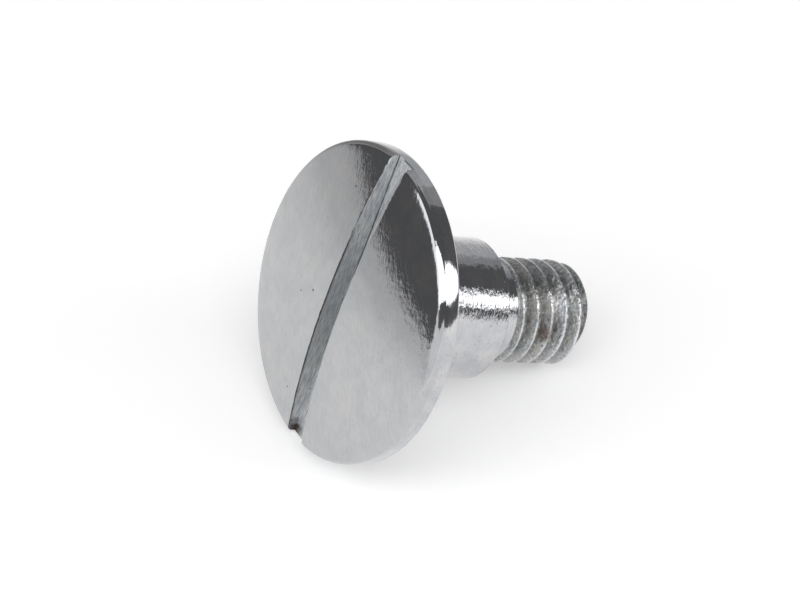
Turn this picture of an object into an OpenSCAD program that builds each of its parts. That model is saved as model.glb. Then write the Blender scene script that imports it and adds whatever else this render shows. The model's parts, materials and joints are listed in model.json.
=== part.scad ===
// Slotted shoulder screw, turned from steel bar in one piece and plated bright.
// It has a broad, shallow domed head with one slot across it, a plain cylindrical
// shoulder that a lever or a hinge turns on, and a short metric thread.
// Loose on a flat surface it lies on the back edge of its head and on the end of
// its thread, and it is drawn lying like that, on a surface level with XY.
// The origin is the middle of the seat under the head, on the screw's axis.

/* [Head] */
// Diameter of the head
head_d = 18; // [12:0.5:30]
// Height of the head's straight rim, up to the edge of the dome
rim_h = 1.25; // [1:0.05:4]
// Rise of the domed face above the rim
crown_h = 0.85; // [0.4:0.05:2]
// Radius that breaks the edge between rim and dome
face_edge_r = 0.3; // [0.1:0.05:0.4]
// Radius that breaks the edge between rim and seat
seat_edge_r = 0.15; // [0.05:0.05:0.3]

/* [Driver slot] */
// Width of the slot
slot_w = 1.6; // [0.8:0.1:3]
// Depth of the slot, from the top of the dome to the slot's flat floor
slot_depth = 1.35; // [1:0.05:1.8]
// Turn of the slot about the screw's axis, from upright as the screw lies
slot_turn = 4; // [-90:0.5:90]

/* [Shoulder] */
// Diameter of the plain shoulder
shoulder_d = 8; // [6.5:0.5:11]
// Length of the shoulder, from the seat to the thread's side
shoulder_l = 7.2; // [2:0.1:30]
// Chamfer on the shoulder's free edge
shoulder_chamfer = 0.15; // [0.05:0.05:0.4]

/* [Thread] */
// Nominal diameter of the thread
thread_d = 6; // [5:0.5:6.4]
// Pitch of the thread
pitch = 1; // [0.5:0.05:1.25]
// Length of the threaded end, neck included
thread_l = 6.4; // [4:0.1:30]
// Length of the plain neck between shoulder and thread
neck_l = 1.4; // [0.5:0.1:3]
// How far the neck stands inside the thread's crests
neck_drop = 0.1; // [0.1:0.05:0.4]
// Chamfer on the thread's tip
tip_chamfer = 0.3; // [0.1:0.05:0.6]
// Turn of the thread about the screw's axis
thread_turn = 85; // [0:5:360]

/* [Hidden] */

head_r = head_d / 2;
dome_r = (head_r * head_r + crown_h * crown_h) / (2 * crown_h);
dome_z = rim_h + crown_h - dome_r;

// The round between rim and dome touches both
face_round_r = head_r - face_edge_r;
face_round_z = dome_z + sqrt(pow(dome_r - face_edge_r, 2) - pow(face_round_r, 2));
dome_edge_r = face_round_r * dome_r / (dome_r - face_edge_r);
seat_round_r = head_r - seat_edge_r;

// Basic metric thread form, with flanks at thirty degrees to the radius
thread_depth = 0.6134 * pitch;
crest_flat = pitch / 8;
flank = thread_depth * tan(30);
root_flat = pitch - crest_flat - 2 * flank;
crest_r = thread_d / 2;
root_r = crest_r - thread_depth;
neck_r = crest_r - neck_drop;
tip_z = -shoulder_l - thread_l;

// The thread starts inside the neck, so that the two overlap
start_drop = 0.05;
overlap = 0.2;
turned_l = thread_l - neck_l + overlap;
start_r = neck_r - start_drop;
runout_slope = thread_depth / pitch;
segments = 48;

// Points of one pitch at which the thread's profile bends
bends = [0, crest_flat, crest_flat + flank, crest_flat + flank + root_flat];
turns = ceil(turned_l / pitch) + 1;
rows = turns * len(bends) + 1;

// The screw rests on the round at its seat edge and on the last crest
rest_r = seat_round_r - crest_r;
rest_l = seat_edge_r - tip_z - tip_chamfer;
rest_reach = sqrt(rest_r * rest_r + rest_l * rest_l);
lie = atan2(rest_r, rest_l) + asin(seat_edge_r / rest_reach);

// Radius of the thread's form a given way along one pitch
function form_r(way) =
    way < crest_flat ? crest_r
    : way < crest_flat + flank ? crest_r - (way - crest_flat) / tan(30)
    : way < crest_flat + flank + root_flat ? root_r
    : crest_r - (pitch - way) / tan(30);

// Positive remainder of a length over the pitch
function along_pitch(length) = length - pitch * floor(length / pitch);

// Radius at a depth below the thread's start, a share of a turn round it
function thread_r(depth, share) =
    min(
        form_r(along_pitch(depth + share * pitch)),
        start_r + depth * runout_slope * 2,
        crest_r - tip_chamfer + turned_l - depth
    );

// Depth of a row there: each row is one bend of the profile on its way round
// the helix, stopped at the two ends
function row_depth(row, share) =
    let (turn = floor(row / len(bends)))
    max(0, min((turn - share) * pitch + bends[row % len(bends)], turned_l));

function row_point(row, step) =
    let (
        share = step / segments,
        depth = row_depth(row, share),
        r = thread_r(depth, share),
        turn = 360 * share + thread_turn
    )
    [r * cos(turn), r * sin(turn), -depth];

// Point number: after a full turn a row goes on as the row of the turn before,
// and the rows stopped at an end share the points of its rim
function point_at(row, step) =
    step == segments ? point_at(max(row - len(bends), 0), 0)
    : let (
        depth = row_depth(row, step / segments),
        kept_row = depth == 0 ? 0 : depth == turned_l ? rows - 1 : row
    )
    kept_row * segments + step;

// The two triangles between neighbouring rows and steps, or the one that is left
// where the rows meet at an end
function patch(row, step) =
    let (
        a = point_at(row, step),
        b = point_at(row, step + 1),
        c = point_at(row + 1, step + 1),
        d = point_at(row + 1, step)
    )
    [if (b != c) [a, b, c], if (a != d) [a, c, d]];

module thread() {
    points = [
        for (row = [0 : rows - 1], step = [0 : segments - 1]) row_point(row, step)
    ];
    start_cap = [for (step = [0 : segments - 1]) point_at(0, segments - 1 - step)];
    tip_cap = [for (step = [0 : segments - 1]) point_at(rows - 1, step)];
    sides = [
        for (row = [0 : rows - 2], step = [0 : segments - 1], face = patch(row, step)) face
    ];
    translate([0, 0, -shoulder_l - neck_l + overlap])
        polyhedron(points = points, faces = concat([start_cap, tip_cap], sides), convexity = 8);
}

// Section of the head from its axis outwards, with both edges rounded
module head_section() {
    square([seat_round_r, face_round_z]);
    translate([0, seat_edge_r])
        square([head_r, face_round_z - seat_edge_r]);
    translate([seat_round_r, seat_edge_r])
        circle(r = seat_edge_r, $fn = 48);
    translate([face_round_r, face_round_z])
        circle(r = face_edge_r, $fn = 48);
    intersection() {
        translate([0, dome_z])
            circle(r = dome_r, $fn = 720);
        square([dome_edge_r, rim_h + crown_h]);
    }
}

module head() {
    rotate_extrude($fn = 144)
        head_section();
}

module slot() {
    floor_z = rim_h + crown_h - slot_depth;
    rotate(slot_turn)
        translate([-head_d, -slot_w / 2, floor_z])
            cube([2 * head_d, slot_w, slot_depth + crown_h]);
}

module shoulder() {
    shoulder_r = shoulder_d / 2;
    translate([0, 0, shoulder_chamfer - shoulder_l])
        cylinder(r = shoulder_r, h = shoulder_l - shoulder_chamfer, $fn = 96);
    translate([0, 0, -shoulder_l])
        cylinder(
            r1 = shoulder_r - shoulder_chamfer,
            r2 = shoulder_r,
            h = shoulder_chamfer,
            $fn = 96
        );
}

module neck() {
    translate([0, 0, -shoulder_l - neck_l])
        cylinder(r = neck_r, h = neck_l, $fn = 96);
}

// The turned screw upright, with its seat at zero and its thread down
module upright_screw() {
    difference() {
        head();
        slot();
    }
    shoulder();
    neck();
    thread();
}

module screw() {
    color("silver")
        rotate([0, lie - 90, 0])
            upright_screw();
}

screw();
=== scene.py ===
# %% [markdown]
# A slotted shoulder screw on a white table
#
# The object is one turned piece of steel, plated bright: a broad head with a low domed face and
# one slot across it, a plain shoulder, a short neck and a short thread. It lies loose, on the
# back edge of its head and on the last crest of its thread.
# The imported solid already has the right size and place. This script models the same piece again
# as a finer mesh, with a true helix, rolled edges and the small faults of the slot, gives it its
# finishes, and lights it like a product photograph.

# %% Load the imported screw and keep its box
import json
import math

import bmesh
import bpy
from mathutils import Matrix, Vector, noise


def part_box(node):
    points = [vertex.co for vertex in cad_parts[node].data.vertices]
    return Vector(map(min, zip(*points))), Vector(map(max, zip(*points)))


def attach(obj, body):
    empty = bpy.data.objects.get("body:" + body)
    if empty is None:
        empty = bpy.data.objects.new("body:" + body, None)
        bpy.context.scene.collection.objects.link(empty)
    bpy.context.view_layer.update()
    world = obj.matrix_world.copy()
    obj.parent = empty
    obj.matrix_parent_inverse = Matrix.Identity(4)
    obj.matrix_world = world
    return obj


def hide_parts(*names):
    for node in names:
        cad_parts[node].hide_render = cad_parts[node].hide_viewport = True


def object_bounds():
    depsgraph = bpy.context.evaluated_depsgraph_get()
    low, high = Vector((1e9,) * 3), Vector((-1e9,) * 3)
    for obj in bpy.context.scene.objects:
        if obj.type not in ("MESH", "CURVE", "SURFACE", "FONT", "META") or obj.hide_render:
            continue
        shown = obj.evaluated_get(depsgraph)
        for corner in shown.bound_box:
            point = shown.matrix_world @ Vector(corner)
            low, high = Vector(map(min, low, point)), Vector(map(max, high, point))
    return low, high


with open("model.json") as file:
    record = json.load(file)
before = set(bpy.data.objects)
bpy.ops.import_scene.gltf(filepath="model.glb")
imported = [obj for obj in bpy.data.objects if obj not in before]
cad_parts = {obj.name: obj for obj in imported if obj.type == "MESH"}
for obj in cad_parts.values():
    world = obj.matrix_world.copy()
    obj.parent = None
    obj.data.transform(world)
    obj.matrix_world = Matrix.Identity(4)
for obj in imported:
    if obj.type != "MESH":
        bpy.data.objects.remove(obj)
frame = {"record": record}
cad_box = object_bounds()
table_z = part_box("screw")[0].z
print("the solid measures", [round(1000 * side, 2) for side in cad_box[1] - cad_box[0]], "mm")

# %% [markdown]
# The sizes of the real screw
#
# The head's radius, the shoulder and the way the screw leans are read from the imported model, so
# that the mesh can't drift away from it. The rest are the sizes of such a screw in millimetres:
# modelling a small thing in its own unit keeps the numbers readable, and the mesh is scaled to
# metres once, at the end.

# %% Read and name the sizes
MM = 0.001
mounts = {mount["name"]: mount for mount in frame["record"]["mounts"]}
lie = math.asin(-mounts["seat"]["axis"][2])

head_r = (cad_box[1].y - cad_box[0].y) / 2 / MM
rim_h = 1.25
crown_h = 0.85
face_edge_r = 0.3
seat_edge_r = 0.15
slot_w = 1.6
slot_depth = 1.35
slot_turn = math.radians(4)

shoulder_r = mounts["shoulder"]["dims"]["r_mm"]
shoulder_l = 7.2
shoulder_chamfer = 0.15

crest_r = 3.0
pitch = 1.0
thread_l = 6.4
neck_l = 1.4
tip_chamfer = 0.3
thread_turn = math.radians(85)
print("head radius", round(head_r, 3), "shoulder radius", shoulder_r, "leans", round(math.degrees(lie), 2))

# %% [markdown]
# The low dome
#
# The dome is a small cap of a large ball. From the head's radius and the rise of the cap, the
# ball's radius follows: r = (R * R + h * h) / (2 * h). The edge between dome and rim is broken by
# a small round that touches both, and its centre follows from the same ball.

# %% Work out the dome and its round edge
dome_r = (head_r**2 + crown_h**2) / (2 * crown_h)
dome_z = rim_h + crown_h - dome_r
face_round_r = head_r - face_edge_r
face_round_z = dome_z + math.sqrt((dome_r - face_edge_r) ** 2 - face_round_r**2)
round_angle = math.atan2(face_round_z - dome_z, face_round_r)
slot_floor = rim_h + crown_h - slot_depth
half_slot = slot_w / 2
print("ball radius", round(dome_r, 2), "mm, the slot's floor is", round(slot_floor, 3), "mm above the seat")


# %% [markdown]
# Turning one half of the head
#
# The slot parts the face into two equal halves. One could turn the whole head and cut the slot
# with a boolean, but that leaves long thin triangles just where the light shows them. So each
# half is turned by itself: a single vertex is swept along the dome, then round the edge and down
# the rim, and the line that it leaves is spun by half a turn.
# A half disc made so would still reach the middle of the slot. Each vertex is therefore moved
# outwards along its own ray from the middle of the slot's edge until it is as far from the
# screw's axis as before. The rings stay true circles, and the straight side becomes the edge.
# At last the outermost part of the dome is lowered by a few hundredths, because the polishing
# belt takes more from an edge.

# %% Sweep the section, spin it and open the slot
DOME_RINGS = 72
ROUND_STEPS = 8
RIM_RINGS = 3
HALF_STEPS = 144
TINY = 1e-4
MERGE = 1e-3
WORN_FROM = 8.35
WEAR = 0.06


def sweep_vertex(bm, vertex, centre, angle, steps):
    swept = bmesh.ops.spin(
        bm, geom=[vertex], cent=centre, axis=(0, 1, 0), angle=angle, steps=steps
    )
    return next(item for item in swept["geom_last"] if isinstance(item, bmesh.types.BMVert))


def draw_section(bm):
    start_angle = math.asin(half_slot / dome_r)
    end_angle = math.pi / 2 - round_angle
    start = (half_slot, 0, dome_z + dome_r * math.cos(start_angle))
    vertex = bm.verts.new(start)
    vertex = sweep_vertex(bm, vertex, (0, 0, dome_z), end_angle - start_angle, DOME_RINGS)
    vertex = sweep_vertex(bm, vertex, (face_round_r, 0, face_round_z), round_angle, ROUND_STEPS)
    rim_step = (slot_floor - vertex.co.z) / RIM_RINGS
    for _ in range(RIM_RINGS):
        made = bmesh.ops.extrude_vert_indiv(bm, verts=[vertex])
        vertex = made["verts"][0]
        vertex.co.z += rim_step


def open_slot(bm):
    for vertex in bm.verts:
        reach = math.hypot(vertex.co.x, vertex.co.y)
        turn = math.atan2(vertex.co.y, vertex.co.x)
        to_circle = math.sqrt(max(0, reach**2 - (half_slot * math.cos(turn)) ** 2))
        ray = to_circle - half_slot * math.sin(turn)
        vertex.co.x = ray * math.cos(turn)
        vertex.co.y = half_slot + ray * math.sin(turn)


screw_bm = bmesh.new()
draw_section(screw_bm)
section = screw_bm.verts[:] + screw_bm.edges[:]
bmesh.ops.spin(screw_bm, geom=section, cent=(0, 0, 0), axis=(0, 0, 1), angle=math.pi, steps=HALF_STEPS)
open_slot(screw_bm)
bmesh.ops.remove_doubles(screw_bm, verts=screw_bm.verts[:], dist=MERGE)
for vertex in screw_bm.verts:
    past = math.hypot(vertex.co.x, vertex.co.y) - WORN_FROM
    if past > 0 and vertex.co.z > face_round_z:
        vertex.co.z -= WEAR * past**2
print("half a head has", len(screw_bm.faces), "faces")

# %% [markdown]
# The slot
#
# The second half is the first one turned by half a turn. Each side wall of the slot is the flat
# face between the cut edge of its half and one straight line along the floor. At both mouths
# an arc carries the rim's circle on across the slot, and the floor is the face between the two
# lines and the two arcs.

# %% Copy the half and close the slot
MOUTH_STEPS = 8
DOME, TURNED, SLOT, THREAD = range(4)

half = screw_bm.verts[:] + screw_bm.edges[:] + screw_bm.faces[:]
copied = bmesh.ops.duplicate(screw_bm, geom=half)["geom"]
copied_verts = [item for item in copied if isinstance(item, bmesh.types.BMVert)]
bmesh.ops.rotate(screw_bm, verts=copied_verts, cent=(0, 0, 0), matrix=Matrix.Rotation(math.pi, 3, "Z"))

mouth_x = math.sqrt(head_r**2 - half_slot**2)
mouth_turn = 2 * math.asin(half_slot / head_r)


def near(bm, place):
    return min(bm.verts, key=lambda vertex: (vertex.co - Vector(place)).length)


def flat_face(bm, edges, material):
    made = bmesh.ops.contextual_create(bm, geom=edges)
    for face in made["faces"]:
        face.material_index = material
    return made["faces"]


for side in (1, -1):
    wall = [
        edge for edge in screw_bm.edges
        if edge.is_boundary and all(abs(vertex.co.y - side * half_slot) < TINY for vertex in edge.verts)
    ]
    corners = [near(screw_bm, (x, side * half_slot, slot_floor)) for x in (mouth_x, -mouth_x)]
    foot = screw_bm.edges.new(corners)
    flat_face(screw_bm, wall + [foot], SLOT)

for side in (1, -1):
    corner = near(screw_bm, (side * mouth_x, -side * half_slot, slot_floor))
    bmesh.ops.spin(
        screw_bm, geom=[corner], cent=(0, 0, 0), axis=(0, 0, 1), angle=mouth_turn, steps=MOUTH_STEPS
    )
bmesh.ops.remove_doubles(screw_bm, verts=screw_bm.verts[:], dist=TINY)


def on_slot_floor(vertex):
    return abs(vertex.co.z - slot_floor) < TINY and abs(vertex.co.y) < half_slot + TINY


floor_outline = [edge for edge in screw_bm.edges if all(on_slot_floor(vertex) for vertex in edge.verts)]
floor_faces = flat_face(screw_bm, floor_outline, SLOT)
print("the slot's floor has", len(floor_outline), "edges and", len(floor_faces), "face")

# %% [markdown]
# The rim, the seat and the shoulder
#
# Below the slot the head is round all the way. The open ring is extruded downwards again and
# again, and each new ring is scaled to its own radius, as a lathe tool would cut it: the rim, the
# round at its lower edge, the flat seat, the shoulder and the chamfer at its end.

# %% Extrude the ring down to the end of the shoulder
SEAT_ROUND_STEPS = 5


def ring_at(bm, z):
    return [
        edge for edge in bm.edges
        if len(edge.link_faces) < 2 and all(abs(vertex.co.z - z) < TINY for vertex in edge.verts)
    ]


def carry_ring(bm, ring, radius, z):
    made = bmesh.ops.extrude_edge_only(bm, edges=ring)["geom"]
    verts = [item for item in made if isinstance(item, bmesh.types.BMVert)]
    reach = math.hypot(verts[0].co.x, verts[0].co.y)
    scale = radius / reach
    bmesh.ops.scale(bm, verts=verts, vec=(scale, scale, 1))
    bmesh.ops.translate(bm, verts=verts, vec=(0, 0, z - verts[0].co.z))
    for item in made:
        if isinstance(item, bmesh.types.BMFace):
            item.material_index = TURNED
    return [item for item in made if isinstance(item, bmesh.types.BMEdge)]


ring = ring_at(screw_bm, slot_floor)
ring = carry_ring(screw_bm, ring, head_r, seat_edge_r)
for step in range(1, SEAT_ROUND_STEPS + 1):
    turn = math.pi / 2 * step / SEAT_ROUND_STEPS
    radius = head_r - seat_edge_r * (1 - math.cos(turn))
    ring = carry_ring(screw_bm, ring, radius, seat_edge_r * (1 - math.sin(turn)))
ring = carry_ring(screw_bm, ring, shoulder_r, 0)
ring = carry_ring(screw_bm, ring, shoulder_r, shoulder_chamfer - shoulder_l)
ring = carry_ring(screw_bm, ring, shoulder_r - shoulder_chamfer, -shoulder_l)
print("the ring has", len(ring), "edges")

# %% [markdown]
# The thread
#
# A metric thread is a ridge that winds round the bar and climbs by one pitch in each turn. The
# section of a single pitch, from the middle of one crest to the middle of the next, is drawn with
# six corners. Its flanks are cut finer, and smoothing the lower corners gives the small rounds at
# the root that a worn tool leaves, while the crest stays sharp. spin() turns the section and lifts
# it at each step, so that after a full turn it meets its own start, where doubles are merged.
# The winding is made too long at both ends and cut to length. Then no point may stand further
# out than two cones: one is the chamfer of the tip, the other brings the crests down to the
# smooth neck. A third cone lifts the roots there, because a rolled thread runs out slowly. The
# crests also get a few dents from handling.

# %% Spin the helix
TURN_STEPS = 96
FLANK_CUTS = 6
thread_depth = 0.6134 * pitch
crest_flat = pitch / 8
flank = thread_depth * math.tan(math.radians(30))
root_r = crest_r - thread_depth
neck_r = crest_r - 0.1
thread_top = -shoulder_l - neck_l + 0.2
tip_z = -shoulder_l - thread_l
turns = math.ceil(thread_l / pitch) + 2


def thread_section(bm, start_z):
    corners = [
        (crest_r, 0),
        (crest_r, crest_flat / 2),
        (root_r, crest_flat / 2 + flank),
        (root_r, pitch - crest_flat / 2 - flank),
        (crest_r, pitch - crest_flat / 2),
        (crest_r, pitch),
    ]
    verts = [bm.verts.new((radius, 0, start_z - drop)) for radius, drop in corners]
    edges = [bm.edges.new(pair) for pair in zip(verts, verts[1:])]
    bmesh.ops.subdivide_edges(bm, edges=[edges[1], edges[3]], cuts=FLANK_CUTS)
    bmesh.ops.subdivide_edges(bm, edges=[edges[2]], cuts=2)
    low = [vertex for vertex in bm.verts if vertex.co.x < crest_r - thread_depth / 4]
    for _ in range(3):
        bmesh.ops.smooth_vert(bm, verts=low, factor=0.5, use_axis_x=True)


thread_bm = bmesh.new()
first_crest = thread_top - crest_flat / 2
thread_section(thread_bm, first_crest - (turns - 2) * pitch)
section = thread_bm.verts[:] + thread_bm.edges[:]
bmesh.ops.spin(
    thread_bm, geom=section, cent=(0, 0, 0), axis=(0, 0, 1), dvec=(0, 0, pitch / TURN_STEPS),
    angle=turns * math.tau, steps=turns * TURN_STEPS,
)
bmesh.ops.remove_doubles(thread_bm, verts=thread_bm.verts[:], dist=TINY)
turn_about_axis = Matrix.Rotation(thread_turn, 3, "Z")
bmesh.ops.rotate(thread_bm, verts=thread_bm.verts[:], cent=(0, 0, 0), matrix=turn_about_axis)
print("the winding has", len(thread_bm.faces), "faces in", turns, "turns")

# %% Cut the winding to length and run it out
RUNOUT_SLOPE = 1.2
FILL_SLOPE = 0.8
DENT = 0.035
start_z = thread_top - 0.1


def cut_level(bm, z, keep_below):
    everything = bm.verts[:] + bm.edges[:] + bm.faces[:]
    bmesh.ops.bisect_plane(
        bm, geom=everything, dist=TINY, plane_co=(0, 0, z), plane_no=(0, 0, 1),
        clear_outer=keep_below, clear_inner=not keep_below,
    )


cut_level(thread_bm, start_z, True)
cut_level(thread_bm, tip_z, False)
for vertex in thread_bm.verts:
    reach = math.hypot(vertex.co.x, vertex.co.y)
    from_start = start_z - vertex.co.z
    chamfer = crest_r - tip_chamfer + vertex.co.z - tip_z
    dent = DENT * max(0, noise.noise(vertex.co * 1.7) - 0.1) * (reach > neck_r)
    thread_r = min(reach - dent, neck_r + from_start * RUNOUT_SLOPE, chamfer)
    scale = max(thread_r, neck_r - from_start * FILL_SLOPE) / reach
    vertex.co.x *= scale
    vertex.co.y *= scale
neck = carry_ring(thread_bm, ring_at(thread_bm, start_z), neck_r, -shoulder_l)
tip_face = flat_face(thread_bm, ring_at(thread_bm, tip_z), THREAD)
for face in thread_bm.faces:
    if face.calc_center_median().z < start_z:
        face.material_index = THREAD
print("cut to length it has", len(thread_bm.faces), "faces, with", len(tip_face), "at the tip")

# %% [markdown]
# One closed piece
#
# The thread is joined to the head on the flat end of the shoulder. There a bridge between two
# rings with different numbers of points stays flat, and shows no seam.

# %% Bridge the thread to the shoulder
thread_mesh = bpy.data.meshes.new("thread_winding")
thread_bm.to_mesh(thread_mesh)
thread_bm.free()
screw_bm.from_mesh(thread_mesh)
bpy.data.meshes.remove(thread_mesh)
bridge = bmesh.ops.bridge_loops(screw_bm, edges=ring_at(screw_bm, -shoulder_l))
for face in bridge["faces"]:
    face.material_index = TURNED
bmesh.ops.recalc_face_normals(screw_bm, faces=screw_bm.faces[:])
open_edges = [edge for edge in screw_bm.edges if len(edge.link_faces) != 2]
print("one piece with", len(screw_bm.faces), "faces,", len(open_edges), "open edges")

# %% [markdown]
# The edges of the slot
#
# A milled slot keeps a thin burr, which the polishing of the face then rolls over. So its edges
# get a very narrow round, and after that a little noise that moves them by a few hundredths of
# a millimetre. The inner corners get a small round too, from the worn cutter.

# %% Round the edges of the slot
EDGE_ROUND = 0.035


def slot_edges(bm):
    rounded = []
    for edge in bm.edges:
        materials = {face.material_index for face in edge.link_faces}
        meets_wall = len({tuple(round(x, 2) for x in face.normal) for face in edge.link_faces}) > 1
        if SLOT in materials and meets_wall:
            rounded.append(edge)
    return rounded


rounded = slot_edges(screw_bm)
bmesh.ops.bevel(
    screw_bm, geom=rounded, offset=EDGE_ROUND, offset_type="OFFSET", segments=3, profile=0.5,
    affect="EDGES", clamp_overlap=True, material=-1,
)
BURR = 0.03
BURR_GRAIN = 2.6
moved = 0
for vertex in screw_bm.verts:
    beside = abs(abs(vertex.co.y) - half_slot)
    top = dome_z + math.sqrt(dome_r**2 - vertex.co.x**2 - vertex.co.y**2) if vertex.co.z > 0 else 0
    if beside < 2 * EDGE_ROUND and vertex.co.z > max(slot_floor + 0.3, top - 2 * EDGE_ROUND):
        coarse = noise.noise_vector(vertex.co * BURR_GRAIN)
        push = coarse + 0.5 * noise.noise_vector(vertex.co * 4 * BURR_GRAIN)
        vertex.co.y += BURR * push.y
        vertex.co.z += BURR / 3 * push.z
        moved += 1
print("rounded", len(rounded), "edges of the slot and moved", moved, "points of its lips")

# %% [markdown]
# Laying the screw down
#
# The mesh was made upright, so it is turned about its axis by the slot's angle, laid down as far
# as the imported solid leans, and scaled to metres. The object itself stays at the origin.

# %% Place the mesh and make the object
SHARP = math.radians(32)

turn_slot = Matrix.Rotation(slot_turn, 4, "Z")
lay_down = Matrix.Rotation(lie - math.pi / 2, 4, "Y")
head_verts = [vertex for vertex in screw_bm.verts if vertex.co.z > -TINY]
for vertex in head_verts:
    vertex.co = turn_slot @ vertex.co
bmesh.ops.transform(screw_bm, matrix=Matrix.Scale(MM, 4) @ lay_down, verts=screw_bm.verts[:])
for face in screw_bm.faces:
    face.smooth = True
for edge in screw_bm.edges:
    edge.smooth = len(edge.link_faces) == 2 and edge.calc_face_angle(0) < SHARP

screw_mesh = bpy.data.meshes.new("turned_screw")
screw_bm.to_mesh(screw_mesh)
screw_bm.free()
screw = bpy.data.objects.new("turned_screw", screw_mesh)
bpy.context.scene.collection.objects.link(screw)
even_shading = screw.modifiers.new("even_shading", "WEIGHTED_NORMAL")
even_shading.keep_sharp = True
even_shading.weight = 100

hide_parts("screw")
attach(screw, "root")
print("the piece has", sum(len(face.vertices) - 2 for face in screw_mesh.polygons), "triangles")


# %% [markdown]
# The finishes
#
# The screw was turned, then plated bright. Four finishes share that plating: the face, which was
# polished on a belt and keeps a fine straight grain; the rim, seat and shoulder, which keep the
# fine rings of the lathe; the slot, which was milled and is dull; and the thread, which is dirty
# and worn. All patterns are worked out from the place of a point on the upright screw, in
# millimetres, so a Mapping node first stands the screw up again.
# Three effects are node groups, because several finishes use them: streaks (noise stretched
# along one direction), mottle (the cloudy film and the specks on the plating) and spot (a mask
# round one point, for a pit, a stain, a painted glint or a painted highlight).

# %% Small helpers for node trees
def new_node(tree, kind, **settings):
    node = tree.nodes.new("ShaderNode" + kind)
    for name, value in settings.items():
        setattr(node, name, value)
    return node


def plug(tree, node, name, value):
    if isinstance(value, bpy.types.NodeSocket):
        tree.links.new(value, node.inputs[name])
    else:
        node.inputs[name].default_value = value


def maths(tree, operation, first, second=0.0, clamp=False):
    node = new_node(tree, "Math", operation=operation, use_clamp=clamp)
    plug(tree, node, 0, first)
    plug(tree, node, 1, second)
    return node.outputs[0]


def mixed(tree, factor, first, second, blend="MIX"):
    node = new_node(tree, "Mix", data_type="RGBA", blend_type=blend)
    plug(tree, node, 0, factor)
    plug(tree, node, 6, first)
    plug(tree, node, 7, second)
    return node.outputs[2]


def ranged(tree, value, low, high, to_low=0.0, to_high=1.0):
    node = new_node(tree, "MapRange")
    for name, item in (("Value", value), ("From Min", low), ("From Max", high),
                       ("To Min", to_low), ("To Max", to_high)):
        plug(tree, node, name, item)
    return node.outputs[0]


def noise_value(tree, place, scale, detail=2.0, roughness=0.5):
    node = new_node(tree, "TexNoise")
    plug(tree, node, "Vector", place)
    plug(tree, node, "Scale", scale)
    plug(tree, node, "Detail", detail)
    plug(tree, node, "Roughness", roughness)
    return node.outputs["Fac"]


def stretched(tree, place, stretch):
    node = new_node(tree, "VectorMath", operation="MULTIPLY")
    plug(tree, node, 0, place)
    plug(tree, node, 1, stretch)
    return node.outputs[0]


def turned_by(tree, place, angle):
    node = new_node(tree, "Mapping", vector_type="POINT")
    plug(tree, node, "Vector", place)
    plug(tree, node, "Rotation", (0, 0, angle))
    return node.outputs[0]


def upright_place(tree):
    coordinates = new_node(tree, "TexCoord")
    stand_up = new_node(tree, "Mapping", vector_type="POINT")
    plug(tree, stand_up, "Vector", coordinates.outputs["Object"])
    plug(tree, stand_up, "Rotation", (0, math.pi / 2 - lie, 0))
    return stretched(tree, stand_up.outputs[0], (1 / MM, 1 / MM, 1 / MM))


def parts_of(tree, place):
    node = new_node(tree, "SeparateXYZ")
    plug(tree, node, 0, place)
    return node.outputs


def reach_of(tree, place):
    flat = stretched(tree, place, (1, 1, 0))
    node = new_node(tree, "VectorMath", operation="LENGTH")
    plug(tree, node, 0, flat)
    return node.outputs["Value"]


def new_group(name, inputs, outputs):
    group = bpy.data.node_groups.new(name, "ShaderNodeTree")
    for socket_name, kind, value in inputs:
        socket = group.interface.new_socket(socket_name, in_out="INPUT", socket_type="NodeSocket" + kind)
        socket.default_value = value
    for socket_name, kind in outputs:
        group.interface.new_socket(socket_name, in_out="OUTPUT", socket_type="NodeSocket" + kind)
    return group, group.nodes.new("NodeGroupInput"), group.nodes.new("NodeGroupOutput")


def use_group(tree, group, **values):
    node = new_node(tree, "Group", node_tree=group)
    for name, value in values.items():
        plug(tree, node, name, value)
    return node


# %% The three shared effects
def build_streaks():
    group, given, result = new_group(
        "streaks",
        [("Place", "Vector", (0, 0, 0)), ("Stretch", "Vector", (1, 1, 1)), ("Unevenness", "Float", 0.3)],
        [("Height", "Float"), ("Value", "Float")],
    )
    long_place = new_node(group, "VectorMath", operation="MULTIPLY")
    group.links.new(given.outputs["Place"], long_place.inputs[0])
    group.links.new(given.outputs["Stretch"], long_place.inputs[1])
    fine = noise_value(group, long_place.outputs[0], 1.0, 3.0, 0.6)
    waves = noise_value(group, given.outputs["Place"], 2.4, 2.0)
    height = maths(group, "ADD", fine, maths(group, "MULTIPLY", waves, given.outputs["Unevenness"]))
    group.links.new(height, result.inputs["Height"])
    group.links.new(fine, result.inputs["Value"])
    return group


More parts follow.
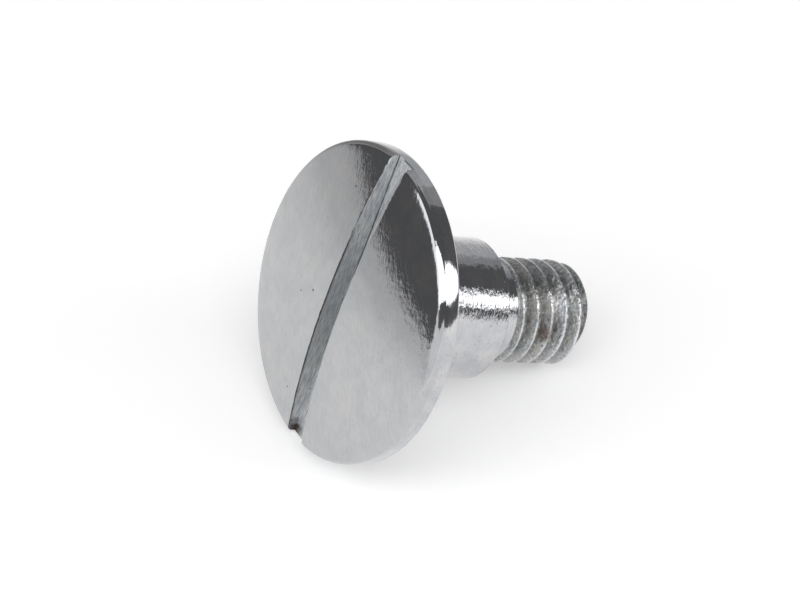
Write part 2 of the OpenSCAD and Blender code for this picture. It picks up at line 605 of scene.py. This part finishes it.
def build_mottle():
    group, given, result = new_group(
        "mottle",
        [("Place", "Vector", (0, 0, 0)), ("Colour", "Color", (0.5, 0.5, 0.5, 1)), ("Gloss", "Float", 0.05),
         ("Cloudiness", "Float", 0.3), ("Specks", "Float", 0.4)],
        [("Colour", "Color"), ("Roughness", "Float")],
    )
    place = given.outputs["Place"]
    cloud = ranged(group, noise_value(group, place, 0.8, 4.0, 0.6), 0.35, 0.65)
    tint = mixed(group, cloud, (0.84, 0.86, 0.9, 1), (1.05, 1.03, 1.02, 1))
    clouded = mixed(group, given.outputs["Cloudiness"], given.outputs["Colour"],
                    mixed(group, 1.0, given.outputs["Colour"], tint, "MULTIPLY"))
    grit = ranged(group, noise_value(group, place, 6.0, 2.0, 0.7), 0.58, 0.72)
    speck = maths(group, "MULTIPLY", grit, given.outputs["Specks"])
    group.links.new(mixed(group, speck, clouded, (0.1, 0.1, 0.11, 1)), result.inputs["Colour"])
    film = maths(group, "MULTIPLY", cloud, 0.03)
    film = maths(group, "ADD", film, maths(group, "MULTIPLY", speck, 0.2))
    rough = maths(group, "ADD", given.outputs["Gloss"], film)
    group.links.new(rough, result.inputs["Roughness"])
    return group


def build_spot():
    group, given, result = new_group(
        "spot",
        [("Place", "Vector", (0, 0, 0)), ("Centre", "Vector", (0, 0, 0)), ("Size", "Float", 0.1),
         ("Raggedness", "Float", 0.5)],
        [("Mask", "Float")],
    )
    away = new_node(group, "VectorMath", operation="DISTANCE")
    group.links.new(given.outputs["Place"], away.inputs[0])
    group.links.new(given.outputs["Centre"], away.inputs[1])
    in_sizes = maths(group, "DIVIDE", away.outputs["Value"], given.outputs["Size"])
    ragged = maths(group, "MULTIPLY", noise_value(group, given.outputs["Place"], 4.0, 3.0, 0.7),
                   given.outputs["Raggedness"])
    group.links.new(ranged(group, maths(group, "ADD", in_sizes, ragged), 1.2, 0.7), result.inputs["Mask"])
    return group


streaks = build_streaks()
mottle = build_mottle()
spot = build_spot()
print("shared effects:", streaks.name, mottle.name, spot.name)


# %% A plated metal, ready to be given its pattern
def plated_metal(name):
    material = bpy.data.materials.new(name)
    material.use_nodes = True
    tree = material.node_tree
    shader = tree.nodes["Principled BSDF"]
    shader.inputs["Metallic"].default_value = 1
    return material, tree, shader, upright_place(tree)


def finish_metal(tree, shader, place, colour, gloss, cloudiness, specks, height, depth):
    film = use_group(
        tree, mottle, Place=place, Colour=colour, Gloss=gloss, Cloudiness=cloudiness, Specks=specks
    )
    tree.links.new(film.outputs["Colour"], shader.inputs["Base Color"])
    tree.links.new(film.outputs["Roughness"], shader.inputs["Roughness"])
    bump = new_node(tree, "Bump")
    plug(tree, bump, "Height", height)
    plug(tree, bump, "Distance", depth * MM)
    tree.links.new(bump.outputs[0], shader.inputs["Normal"])


def darkened(tree, place, colour, spots, dark):
    for centre, size in spots:
        mask = use_group(tree, spot, Place=place, Centre=centre, Size=size)
        colour = mixed(tree, mask.outputs["Mask"], colour, dark)
    return colour


# %% The face, polished on a belt
GRAIN_TURN = math.radians(-38)
BRIGHT = (0.5, 0.505, 0.51, 1)


def face_material():
    material, tree, shader, place = plated_metal("belt_polished_plating")
    grain = use_group(
        tree, streaks, Place=turned_by(tree, place, GRAIN_TURN), Stretch=(1.6, 8.0, 1.0), Unevenness=2.2
    )
    shade = ranged(tree, grain.outputs["Value"], 0.3, 0.7, 0.95, 1.04)
    colour = mixed(tree, 1.0, BRIGHT, shade, "MULTIPLY")
    pits = [((-1.47, 3.14, 1.98), 0.08), ((-0.71, 2.07, 2.05), 0.1), ((-6.8, 1.3, 1.6), 0.09),
            ((5.88, 2.74, 1.66), 0.09)]
    colour = darkened(tree, place, colour, pits, (0.12, 0.11, 0.11, 1))
    # The outer edge of the face is darkened on its upper and left side only: partly a dark film, partly
    # painted shade on the edge round. It is left off the right side, where the edge's highlight lies.
    edge = maths(tree, "MULTIPLY", ranged(tree, reach_of(tree, place), 8.72, 8.88), 0.75)
    edge = maths(tree, "MULTIPLY", edge, ranged(tree, parts_of(tree, place)["Y"], -1.5, 2.5))
    colour = mixed(tree, edge, colour, (0.13, 0.125, 0.12, 1))
    finish_metal(tree, shader, place, colour, 0.05, 0.5, 0.14, grain.outputs["Height"], 0.0026)
    return material


# %% The rim, seat, shoulder and neck, with the rings of the lathe
def turned_material():
    material, tree, shader, place = plated_metal("lathe_turned_plating")
    rings = use_group(tree, streaks, Place=place, Stretch=(1.7, 1.7, 5.5), Unevenness=0.5)
    shade = ranged(tree, rings.outputs["Value"], 0.3, 0.7, 0.96, 1.04)
    colour = mixed(tree, 1.0, (0.55, 0.555, 0.565, 1), shade, "MULTIPLY")
    calm = ranged(tree, reach_of(tree, place), 5.0, 8.5, 1.0, 0.1)
    height = maths(tree, "MULTIPLY", rings.outputs["Height"], calm)
    finish_metal(tree, shader, place, colour, 0.05, 0.9, 0.3, height, 0.034)
    return material


# %% The slot, milled and dull, with grime in its lower mouth
def slot_material():
    material, tree, shader, place = plated_metal("milled_slot")
    along = turned_by(tree, place, -slot_turn)
    cuts = use_group(tree, streaks, Place=along, Stretch=(1.5, 15.0, 15.0), Unevenness=0.7)
    x, y, z = parts_of(tree, along)[:3]
    shade = ranged(tree, cuts.outputs["Value"], 0.36, 0.64, 0.55, 1.2)
    colour = mixed(tree, 1.0, (0.68, 0.7, 0.71, 1), shade, "MULTIPLY")
    middle = maths(tree, "MULTIPLY", ranged(tree, x, 3.5, 1.5), ranged(tree, x, -7.0, -3.0))
    colour = mixed(tree, maths(tree, "MULTIPLY", middle, 0.25), colour, (0.3, 0.32, 0.32, 1))
    # Painted shade: a thin dark line on one wall just under its lip, where the burr shades it.
    bowed = maths(tree, "MULTIPLY", maths(tree, "MULTIPLY", x, x), 0.5 / dome_r)
    under_lip = maths(tree, "SUBTRACT", rim_h + crown_h, maths(tree, "ADD", z, bowed))
    painted_lip_shade = maths(tree, "MULTIPLY", ranged(tree, under_lip, 0.16, 0.08), ranged(tree, y, 0.6, 0.75))
    painted_lip_shade = maths(tree, "MULTIPLY", painted_lip_shade, ranged(tree, x, 4.6, 3.4, 0.0, 0.85))
    colour = mixed(tree, painted_lip_shade, colour, (0.06, 0.05, 0.045, 1))
    # Painted shade: a thin dark line on the edge where the slot's floor meets the rim at its far mouth.
    at_rim = ranged(tree, reach_of(tree, place), 8.86, 8.92)
    painted_mouth_edge_shade = maths(tree, "MULTIPLY", at_rim, ranged(tree, x, 0, 1))
    painted_mouth_edge_shade = maths(tree, "MULTIPLY", painted_mouth_edge_shade, ranged(tree, y, 0.35, 0.2, 0.0, 0.85))
    colour = mixed(tree, painted_mouth_edge_shade, colour, (0.07, 0.07, 0.07, 1))
    # Painted shade: a thin dark line in the corner between one wall and the floor, along the upper part of
    # the slot.
    from_wall = maths(tree, "ABSOLUTE", maths(tree, "SUBTRACT", y, half_slot))
    from_floor = maths(tree, "ABSOLUTE", maths(tree, "SUBTRACT", z, slot_floor))
    corner = maths(tree, "MAXIMUM", from_wall, from_floor)
    painted_crease_shade = ranged(tree, maths(tree, "ADD", corner, ranged(tree, x, -1.0, 2.0, 0.1, 0.0)), 0.07, 0.04)
    colour = mixed(tree, maths(tree, "MULTIPLY", painted_crease_shade, 0.75), colour, (0.07, 0.075, 0.08, 1))
    pit = ((-6.24, 0.43, slot_floor), 0.13)
    colour = darkened(tree, place, colour, [pit], (0.05, 0.05, 0.05, 1))
    glint = use_group(
        tree, spot, Place=stretched(tree, along, (0.4, 1, 1)), Centre=(3.48, half_slot, 1.38),
        Size=0.16, Raggedness=0.2,
    ).outputs["Mask"]
    colour = mixed(tree, glint, colour, (1, 1, 1, 1))
    grime = use_group(
        tree, spot, Place=stretched(tree, along, (1, 0.8, 0.8)), Centre=(-8.75, 0.72, slot_floor * 0.8),
        Size=1.0, Raggedness=1.0,
    ).outputs["Mask"]
    rust = ranged(tree, noise_value(tree, place, 5.0, 3.0), 0.4, 0.6)
    dirt = mixed(tree, rust, (0.025, 0.022, 0.022, 1), (0.07, 0.045, 0.035, 1))
    colour = mixed(tree, grime, colour, dirt)
    dull = maths(tree, "MAXIMUM", grime, glint)
    tree.links.new(ranged(tree, dull, 0.0, 1.0, 0.4, 0.0), shader.inputs["Metallic"])
    gloss = maths(tree, "ADD", 0.42, maths(tree, "MULTIPLY", grime, 0.3))
    finish_metal(tree, shader, place, colour, gloss, 0.6, 0.35, cuts.outputs["Height"], 0.012)
    return material


# %% The thread, worn bright on its crests, darker towards its roots, with a painted highlight near its tip
def thread_material():
    material, tree, shader, place = plated_metal("worn_thread")
    reach = reach_of(tree, place)
    patches = noise_value(tree, place, 1.4, 4.0, 0.65)
    depth = ranged(tree, maths(tree, "ADD", reach, maths(tree, "MULTIPLY", patches, 0.3)), 2.55, 3.05)
    colour = mixed(tree, depth, (0.24, 0.245, 0.23, 1), (0.5, 0.505, 0.49, 1))
    bright = maths(tree, "ADD", parts_of(tree, place)["Z"], patches)
    bright = ranged(tree, bright, -10.2, -11.2)
    colour = mixed(tree, maths(tree, "MULTIPLY", bright, 0.15), colour, (0.62, 0.63, 0.64, 1))
    flecks = ranged(tree, noise_value(tree, place, 5.5, 3.0, 0.7), 0.55, 0.66, 0.0, 0.7)
    colour = mixed(tree, flecks, colour, (0.8, 0.81, 0.8, 1))
    # Painted highlight: a bright patch on the crests and flanks near the tip.
    polished = use_group(tree, spot, Place=place, Centre=(2.1, -2.1, -11.7), Size=1.5, Raggedness=1.0)
    painted_highlight = maths(tree, "MULTIPLY", polished.outputs["Mask"], 0.8)
    colour = mixed(tree, painted_highlight, colour, (0.9, 0.91, 0.92, 1))
    crest = ranged(tree, reach, 2.93, 2.99)
    worn = maths(tree, "ADD", patches, maths(tree, "MULTIPLY", bright, 0.3))
    worn = ranged(tree, worn, 0.35, 0.8, 0.1, 0.9)
    colour = mixed(tree, maths(tree, "MULTIPLY", crest, worn), colour, (0.75, 0.76, 0.78, 1))
    stain = use_group(tree, spot, Place=place, Centre=(0.35, -2.65, -10.9), Size=1.05, Raggedness=1.0)
    stained = maths(tree, "MULTIPLY", stain.outputs["Mask"], 0.75)
    colour = mixed(tree, stained, colour, (0.13, 0.075, 0.05, 1))
    gloss = ranged(tree, maths(tree, "ADD", depth, crest), 0.0, 2.0, 0.36, 0.14)
    scars = use_group(tree, streaks, Place=place, Stretch=(4.6, 4.6, 7.0), Unevenness=1.2)
    height = maths(tree, "MULTIPLY", scars.outputs["Height"], ranged(tree, bright, 0.0, 1.0, 1.3, 2.2))
    finish_metal(tree, shader, place, colour, gloss, 1.0, 0.9, height, 0.034)
    return material


for material in (face_material(), turned_material(), slot_material(), thread_material()):
    screw_mesh.materials.append(material)
print("finishes:", [material.name for material in screw_mesh.materials])

# %% [markdown]
# The table and the light
#
# Bright metal has no look of its own: it shows what stands round it. So the studio is built from
# what the screw mirrors in the photograph. The table is white to its edge and makes the pale part
# of the face. Above it the room is dark, which makes the dark part of the face and the bands on
# the rim. A low white card in front, a grey wall at the back, one long soft box above the camera
# and a small one at the right make the rest.
# The cards and the dark room are seen by mirrors only, and the table and the world are lifted to
# full white only for the camera and for mirrors, so none of them adds light to the screw. In
# mirrors the table's lift fades out behind the screw: painted shade on the far table.

# %% Floor, cards and world
FLOOR_HALF = 4.0


def seen_in_picture(tree):
    path = new_node(tree, "LightPath")
    either = maths(tree, "MAXIMUM", path.outputs["Is Camera Ray"], path.outputs["Is Glossy Ray"])
    return maths(tree, "MAXIMUM", either, path.outputs["Is Transmission Ray"])


def table_material():
    material = bpy.data.materials.new("white_table")
    material.use_nodes = True
    tree = material.node_tree
    shader = tree.nodes["Principled BSDF"]
    shader.inputs["Base Color"].default_value = (0.85, 0.85, 0.85, 1)
    shader.inputs["Roughness"].default_value = 0.9
    shader.inputs["Specular IOR Level"].default_value = 0
    shader.inputs["Emission Color"].default_value = (1, 1, 1, 1)
    where = parts_of(tree, new_node(tree, "TexCoord").outputs["Object"])
    # In mirrors the lift fades out behind the screw: painted shade on the far table.
    lift_in_mirrors = ranged(tree, where["Y"], 0.015, 0.12, 0.32, -0.15)
    path = new_node(tree, "LightPath")
    lift_in_mirrors = maths(tree, "MAXIMUM", lift_in_mirrors, 0.0)
    mirrored = maths(tree, "MULTIPLY", path.outputs["Is Glossy Ray"], lift_in_mirrors)
    direct = maths(tree, "MAXIMUM", path.outputs["Is Camera Ray"], path.outputs["Is Transmission Ray"])
    lift = maths(tree, "ADD", mirrored, maths(tree, "MULTIPLY", direct, 0.3))
    tree.links.new(lift, shader.inputs["Emission Strength"])
    return material


def card_material(name, grey):
    material = bpy.data.materials.new(name)
    material.use_nodes = True
    tree = material.node_tree
    tree.nodes.clear()
    glow = new_node(tree, "Emission")
    glow.inputs["Color"].default_value = (grey, grey, grey * 1.02, 1)
    out = new_node(tree, "OutputMaterial")
    tree.links.new(glow.outputs[0], out.inputs["Surface"])
    return material


def stage_object(name, bm, material):
    mesh = bpy.data.meshes.new(name)
    bm.to_mesh(mesh)
    bm.free()
    thing = bpy.data.objects.new(name, mesh)
    bpy.context.scene.collection.objects.link(thing)
    mesh.materials.append(material)
    return thing


def only_mirrors_see(thing):
    thing.visible_camera = False
    thing.visible_diffuse = False
    thing.visible_shadow = False
    thing.visible_volume_scatter = False


floor_bm = bmesh.new()
bmesh.ops.create_grid(floor_bm, x_segments=1, y_segments=1, size=FLOOR_HALF)
bmesh.ops.translate(floor_bm, verts=floor_bm.verts[:], vec=(0, 0, table_z))
stage_object("table", floor_bm, table_material())


def far_point(azimuth, elevation, distance):
    """A point seen from the screw. Azimuth 0 is the front and 90 the right, in degrees."""
    turn, rise = math.radians(azimuth), math.radians(elevation)
    level = distance * math.cos(rise)
    return Vector((level * math.sin(turn), -level * math.cos(turn), distance * math.sin(rise)))


def card(name, grey, azimuths, elevations, distance, top=None):
    """A patch of a sphere round the screw. top gives the height of its upper edge, from 0 to 1."""
    bm = bmesh.new()
    columns = max(1, round((azimuths[1] - azimuths[0]) / 3))
    rows = max(1, round((elevations[1] - elevations[0]) / 6))
    bmesh.ops.create_grid(bm, x_segments=columns, y_segments=rows, size=0.5)
    for vertex in bm.verts:
        azimuth = azimuths[0] + (vertex.co.x + 0.5) * (azimuths[1] - azimuths[0])
        share = (vertex.co.y + 0.5) * (top(azimuth) if top else 1)
        elevation = elevations[0] + share * (elevations[1] - elevations[0])
        vertex.co = far_point(azimuth, elevation, distance)
    only_mirrors_see(stage_object(name, bm, card_material(name, grey)))


def front_top(azimuth):
    return math.sqrt(max(0.0004, 1 - ((azimuth + 37) / 76) ** 2))


card("dark_room", 0.13, (0, 360), (-0.5, 90), 2.5)
card("grey_wall", 0.55, (122, 210), (-0.5, 60), 2.0)
card("grey_corner", 0.35, (108, 122), (-0.5, 60), 2.0)
card("front_card", 1.0, (-113, 39), (-0.5, 28), 1.5, front_top)
card("left_card", 1.6, (-129, -104), (11, 30), 1.4)

world = bpy.data.worlds.new("studio")
bpy.context.scene.world = world
world.use_nodes = True
tree = world.node_tree
background = tree.nodes["Background"]
background.inputs["Color"].default_value = (1, 1, 1, 1)
tree.links.new(ranged(tree, seen_in_picture(tree), 0.0, 1.0, 0.35, 1.0), background.inputs["Strength"])


# %% Lamps
def soft_box(name, location, target, roll, size, radiance):
    lamp = bpy.data.lights.new(name, "AREA")
    lamp.shape = "RECTANGLE"
    lamp.size, lamp.size_y = size
    lamp.energy = radiance * math.pi * size[0] * size[1]
    thing = bpy.data.objects.new(name, lamp)
    thing.location = location
    turned = (Vector(location) - Vector(target)).to_track_quat("Z", "Y").to_matrix().to_4x4()
    thing.rotation_euler = (turned @ Matrix.Rotation(roll, 4, "Z")).to_euler()
    bpy.context.scene.collection.objects.link(thing)
    return thing


LONG_BOX_TURN = math.radians(-26.9)
soft_box("side_box", far_point(58, 18, 0.7), (0, 0, 0), 0, (0.25, 0.197), 2.4)
soft_box("long_box", (0.008, -0.448, 0.6), (0.008, -0.448, 0), LONG_BOX_TURN, (3.78, 0.47), 2.2)

# %% Camera
eye = Vector((-75.27, -153.12, 147.58)) * MM
camera = bpy.data.cameras.new("camera")
camera.lens = 183.0
camera.sensor_width = 36.0
camera.clip_start = 0.01
camera.clip_end = 20
view = bpy.data.objects.new("camera", camera)
view.location = eye
view.rotation_euler = (math.radians(90 - 40.82), 0, math.radians(-26.84))
bpy.context.scene.collection.objects.link(view)
bpy.context.scene.camera = view
bpy.context.scene.view_settings.view_transform = "Standard"
